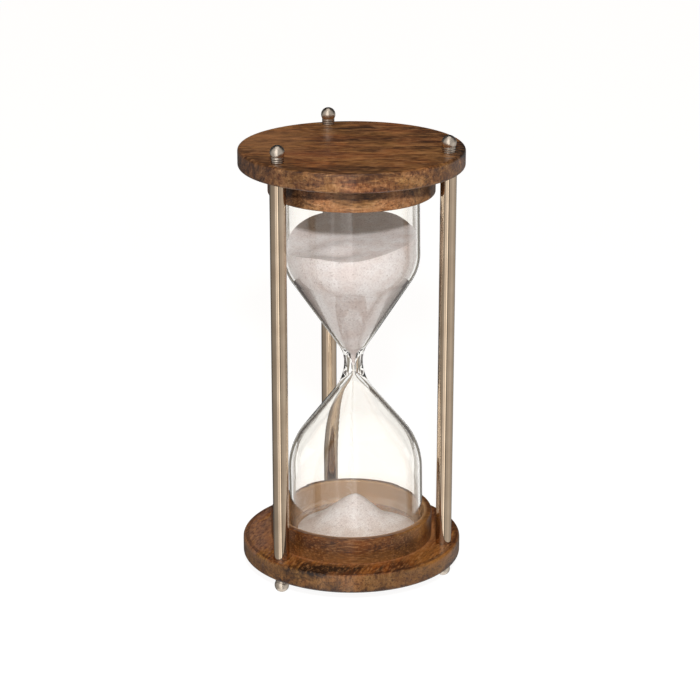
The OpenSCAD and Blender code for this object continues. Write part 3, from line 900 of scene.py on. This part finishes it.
reshape(heap, settle)
bpy.ops.object.shade_smooth_by_angle(angle=HEAP_CREASE)
stand_in_place(heap, glass_place)
place_piece(heap, lower_quartz, "sand", "sand_heap")

# %% [markdown]
# ## The falling stream
# The grains leave the hole close together, fall faster and faster, and spread as they go, so the
# stream is hard to see against a white room. One grain is made, an array modifier sets hundreds above
# each other, and each is then moved to its height and sideways by chance, from a fixed seed.

# %% Falling stream
GRAINS_FALLING = 360
GRAIN_SIZE = 0.4 * MM
SPREAD = (0.3 * MM, 3.2 * MM)  # at the hole and over the heap
SLANT = 2.2 * MM  # the leaning glass throws them a little to the left
FALL, SPREADING = 1.6, 1.5  # powers by which they speed up and move apart
SEED = 11

stream_low, stream_high = (side.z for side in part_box("sand_stream"))
stream_drop = stream_high - stream_low - 1.2 * GRAIN_SIZE
bpy.ops.object.select_all(action="DESELECT")
bpy.ops.mesh.primitive_ico_sphere_add(subdivisions=1, radius=GRAIN_SIZE / 2, location=(0, 0, 0))
stream = bpy.context.object
stream.name = stream.data.name = "falling_sand"
row = stream.modifiers.new("row", "ARRAY")
row.count, row.use_relative_offset, row.use_constant_offset = GRAINS_FALLING, False, True
row.constant_offset_displace = (0, 0, stream_drop / GRAINS_FALLING)
bpy.ops.object.modifier_apply(modifier="row")
grain_corners = len(stream.data.vertices) // GRAINS_FALLING


def scatter(corners):
    chance = np.random.default_rng(SEED)
    row = np.linspace(1, 0, GRAINS_FALLING)
    fallen = row ** FALL
    turn, out = chance.uniform(0, 2 * np.pi, GRAINS_FALLING), np.sqrt(chance.uniform(0, 1, GRAINS_FALLING))
    out *= SPREAD[0] + (SPREAD[1] - SPREAD[0]) * fallen ** SPREADING
    along, aside = out * np.cos(turn) - SLANT * fallen, out * np.sin(turn)
    moves = np.stack([along, aside, (row - fallen) * stream_drop], -1)
    return corners + np.repeat(moves, grain_corners, 0)


reshape(stream, scatter)
bpy.ops.object.shade_smooth()
stand_in_place(stream, Matrix.Translation((waist_x, waist_y, stream_low + 0.6 * GRAIN_SIZE)))
place_piece(stream, falling_quartz, "sand", "sand_stream")

# %% [markdown]
# ## Felt and stopper
# Two discs of undyed felt keep the glass off the boards. Each is cut from a sheet, so its edge is
# straight, and the glass presses its middle a little flatter. A moulded rubber stopper with a thin
# flange closes the filling hole.

# %% Felt discs
FELT_RADIUS = 33 * MM
FELT_THICK = 1.9 * MM  # as cut, before the glass presses on it
FELT_GAP = 0.05 * MM  # so that felt and glass don't share a face
felt, tree = blank("pressed wool felt, undyed")
place = add(tree, "TexCoord").outputs["Object"]
fibres = add(tree, "TexNoise", {"Vector": place, "Scale": 1 / (0.6 * MM), "Detail": 4.0, "Distortion": 1.0})
tone = add(tree, "ValToRGB", {"Fac": fibres}, stops=[(0.3, "#9a8467"), (0.7, "#bba688")])
nap = add(tree, "Bump", {"Height": fibres, "Strength": 0.5, "Distance": 0.3 * MM})
skin = add(tree, "BsdfPrincipled", {"Base Color": tone, "Roughness": 0.95, "Normal": nap,
           "Sheen Weight": 0.3, "Sheen Roughness": 0.5})
add(tree, "OutputMaterial", {"Surface": skin})


def glass_end(x, y, height):
    """Height at which the glass's leaning end stands over a place on the board."""
    face = glass_place @ Vector((0, 0, height))
    up = glass_place.to_3x3() @ Vector((0, 0, 1))
    return face.z - ((x - face.x) * up.x + (y - face.y) * up.y) / up.z


def felt_disc(name, node, board_z, end_height, hole=0.0):
    """A disc between a board and the glass, with a hole for the stopper's flange where one is given."""
    way = 1 if end_height < 0 else -1
    line = [(hole, 0), (FELT_RADIUS - 0.3 * MM, 0), (FELT_RADIUS, 0.1 * FELT_THICK),
            (FELT_RADIUS + 0.15 * MM, 0.5 * FELT_THICK), (FELT_RADIUS, 0.9 * FELT_THICK),
            (FELT_RADIUS - 0.4 * MM, FELT_THICK), (hole, FELT_THICK)]
    disc = lathe(name, [line + ([(hole, 0)] if hole else [])], steps=128)
    centre = glass_place @ Vector((0, 0, end_height))

    def press(corners):
        share = corners[:, 2] / FELT_THICK
        corners[:, 0] += centre.x
        corners[:, 1] += centre.y
        room = np.array([glass_end(x, y, end_height) for x, y in corners[:, :2]]) - board_z
        corners[:, 2] = board_z + share * (room - way * FELT_GAP)
        return corners

    reshape(disc, press)
    if way < 0:
        bpy.ops.object.mode_set(mode="EDIT")
        bpy.ops.mesh.select_all(action="SELECT")
        bpy.ops.mesh.normals_make_consistent(inside=False)
        bpy.ops.object.mode_set(mode="OBJECT")
    bpy.ops.object.shade_smooth_by_angle(angle=HEAP_CREASE)
    place_piece(disc, felt, "cushion_felt", node)


STOPPER_HEAD = FILLING + 2.5 * MM
felt_disc("lower_felt", "bottom_cushion", deck, bottom_end)
felt_disc("upper_felt", "top_cushion", ceiling, top_end, hole=STOPPER_HEAD + 0.1 * MM)

# %% Stopper
FLANGE = 1.4 * MM
PLUG = 7 * MM
FLANGE_ROUND, PLUG_ROUND = 0.4 * MM, 1 * MM
RIB = 0.25 * MM  # depth of the ribs that grip the hole
rubber, tree = blank("black rubber, moulded")
place = add(tree, "TexCoord").outputs["Object"]
bloom = add(tree, "TexNoise", {"Vector": place, "Scale": 1 / (3 * MM), "Detail": 3.0})
tone = add(tree, "ValToRGB", {"Fac": bloom}, stops=[(0.3, "#161616"), (0.7, "#242322")])
skin = add(tree, "BsdfPrincipled", {"Base Color": tone, "Roughness": 0.7})
add(tree, "OutputMaterial", {"Surface": skin})

plug_radius = FILLING - 0.05 * MM
flange_seat = top_end + 0.05 * MM
rim_centre = (STOPPER_HEAD - FLANGE_ROUND, top_end + FLANGE - FLANGE_ROUND)
foot_centre = (plug_radius - 1.2 * MM, top_end - PLUG + PLUG_ROUND)
plug_line = ([(0, top_end + FLANGE)] + arc(rim_centre, FLANGE_ROUND, 90, 0, 4)
             + [(STOPPER_HEAD, flange_seat), (plug_radius, flange_seat)]
             + [(plug_radius - RIB * (i % 2), top_end - PLUG * i / 8) for i in range(1, 7)]
             + arc(foot_centre, PLUG_ROUND, 0, -90, 4) + [(0, top_end - PLUG)])
stopper = lathe("rubber_stopper", [plug_line], steps=64)
bpy.ops.object.shade_smooth_by_angle(angle=CREASE)
stand_in_place(stopper, glass_place)
place_piece(stopper, rubber, "stopper_rubber", "stopper")

# %% [markdown]
# ## The finished size
# The finer pieces must fill the same box as the frame, so both boxes are written down.

# %% Sizes at the end
show_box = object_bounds()
for name, (low, high) in (("cad", cad_box), ("visual", show_box)):
    print(name, [round(c, 4) for c in high - low])
